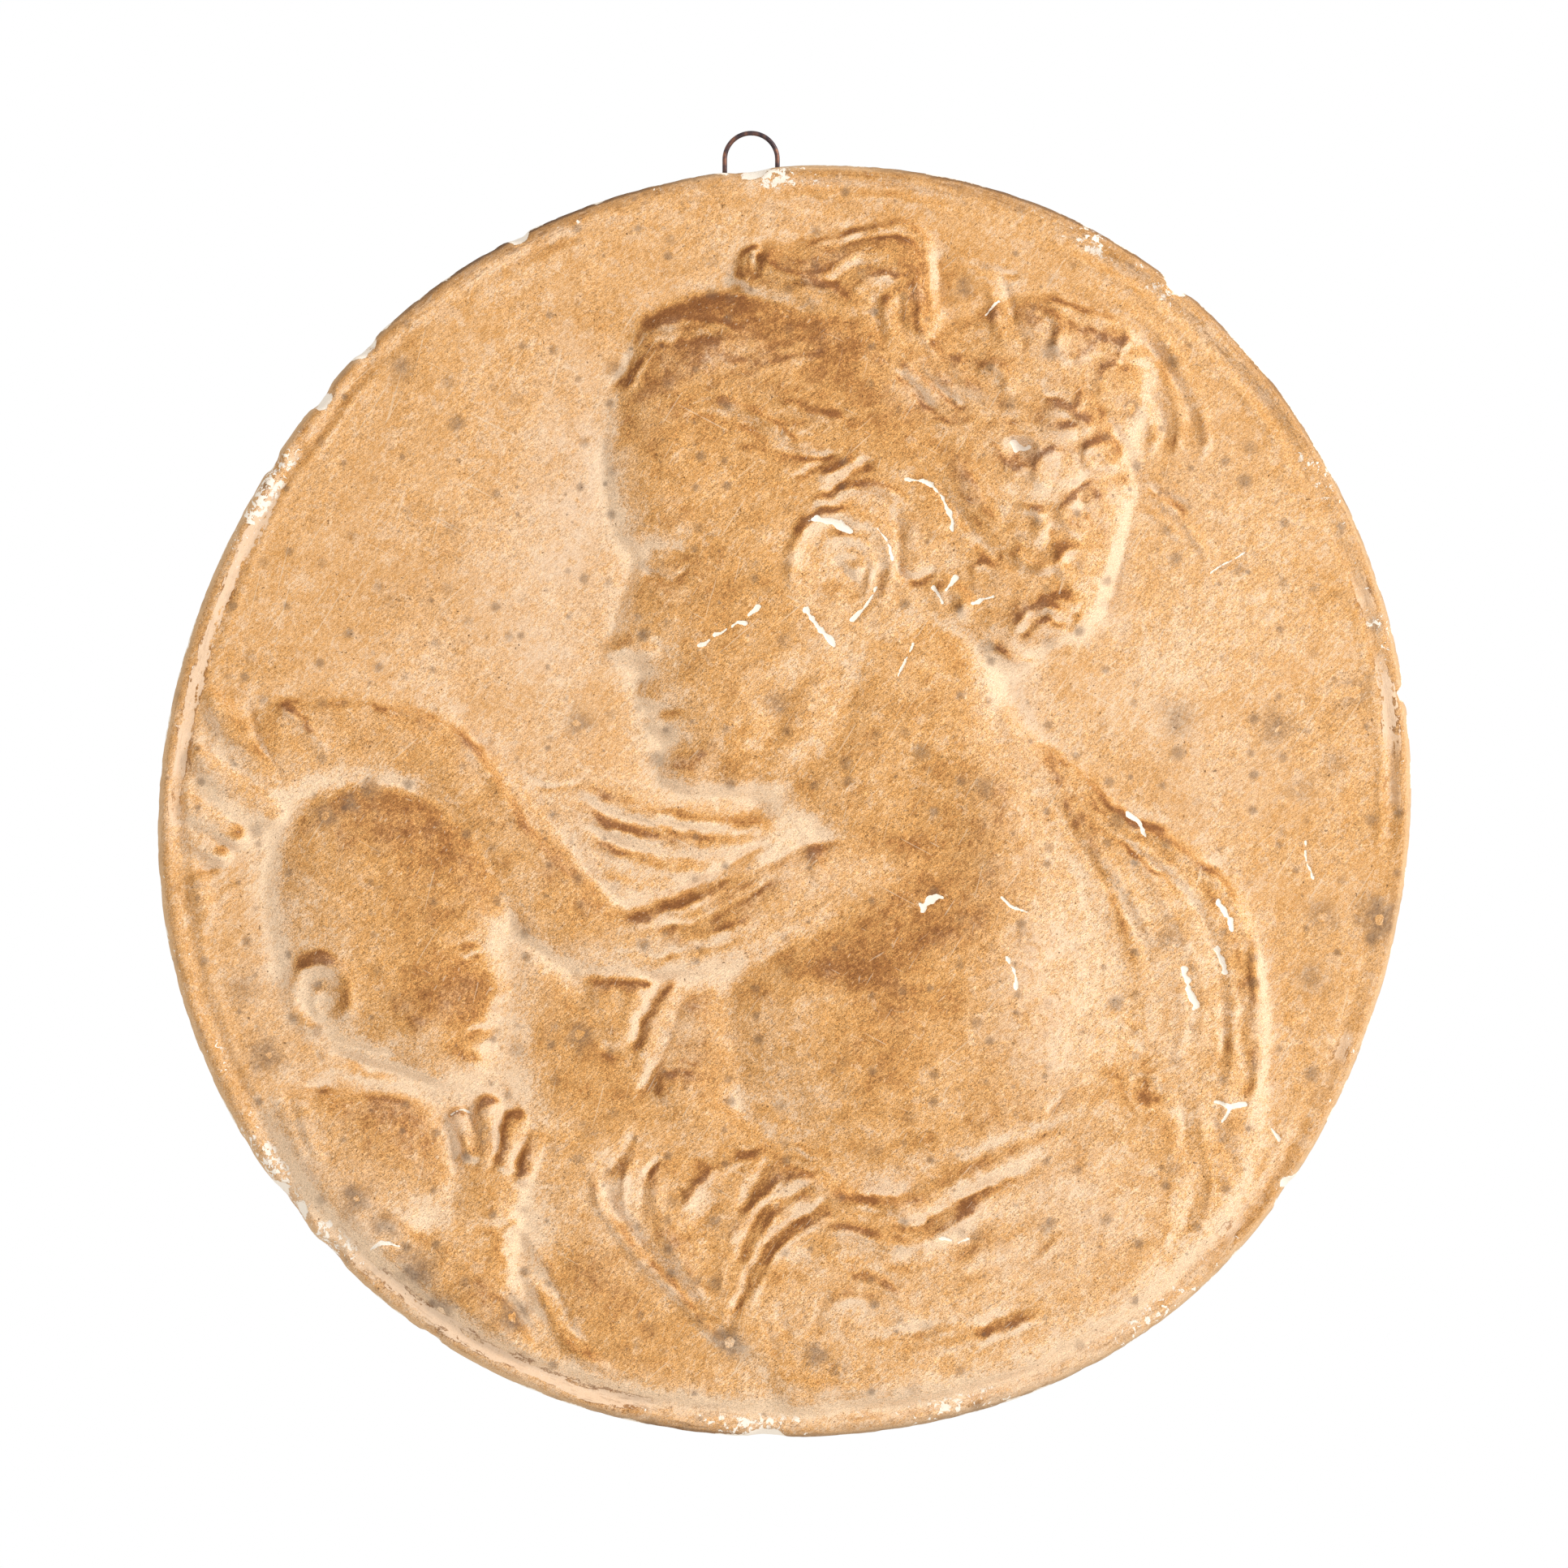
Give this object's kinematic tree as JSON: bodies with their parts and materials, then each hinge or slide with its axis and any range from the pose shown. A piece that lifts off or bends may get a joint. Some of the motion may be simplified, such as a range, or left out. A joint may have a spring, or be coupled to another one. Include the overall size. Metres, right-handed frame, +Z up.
{
  "type": "relief roundel",
  "caption": "Round cast plaster plaque with a low relief of a draped mother and child, hung from a wire loop set in its top edge.",
  "frame": {"origin": "middle of the flat back, on the axis of the disc", "axes": "+Z up, +Y out of the back towards the wall, the relief faces -Y, +X to the viewer's right"},
  "size_m": [0.3614, 0.024, 0.377],
  "materials": {
    "aged_plaster": "matte, dusty, brown patina over pale plaster",
    "dark_steel_wire": "dark, slightly rusted"
  },
  "bodies": {
    "root": {"plaster_roundel": "aged_plaster", "hanging_loop": "dark_steel_wire"}
  },
  "joints": []
}
